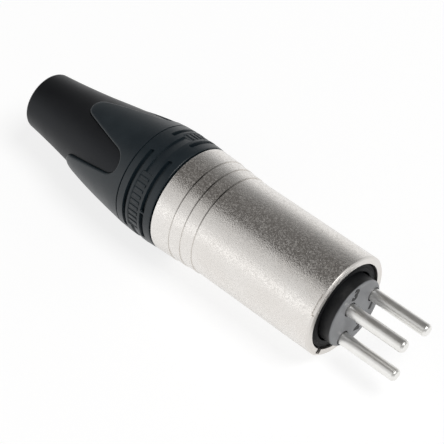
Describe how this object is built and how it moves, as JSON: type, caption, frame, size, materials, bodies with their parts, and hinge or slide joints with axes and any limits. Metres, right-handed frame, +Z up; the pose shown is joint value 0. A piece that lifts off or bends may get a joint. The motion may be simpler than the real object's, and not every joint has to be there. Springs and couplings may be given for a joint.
{
  "type": "xlr plug",
  "caption": "Round cable plug with keyed pins standing out of a metal shell, gripped behind by a screw-on nut with petals over a soft tapered sleeve.",
  "frame": {"origin": "centre of the mating face, where the contacts come out of the carrier", "axes": "+X along the plug towards the contact tips, +Z up with the plug lying on its side"},
  "size_m": [0.0877, 0.0212, 0.0212],
  "materials": {
    "shell_metal": "satin nickel plate",
    "grey_plastic": "matt",
    "black_liner": "satin",
    "contact_plate": "silver plated",
    "spring_strip": "tinned",
    "collet_plastic": "matt",
    "nut_plastic": "satin",
    "sleeve_rubber": "matt"
  },
  "bodies": {
    "plug_body": {"shell": "shell_metal", "contact_carrier": "grey_plastic", "front_ring": "black_liner", "pin_1": "contact_plate", "pin_2": "contact_plate", "pin_3": "contact_plate", "shell_contact": "spring_strip"},
    "collet": {"collet": "collet_plastic"},
    "boot": {"nut": "nut_plastic", "sleeve": "sleeve_rubber"}
  },
  "joints": [
    {"name": "collet_travel", "type": "slide", "parent": "plug_body", "child": "collet", "axis": [-1, 0, 0], "range_m": [0, 0.0075]},
    {"name": "nut_turn", "type": "hinge", "parent": "collet", "child": "boot", "pos_m": [-0.0423, 0, 0], "axis": [-1, 0, 0], "range_deg": [0, 1800]}
  ],
  "couplings": [
    {"joint": "collet_travel", "follows": "nut_turn", "m_per_rad": 0.00023873}
  ]
}
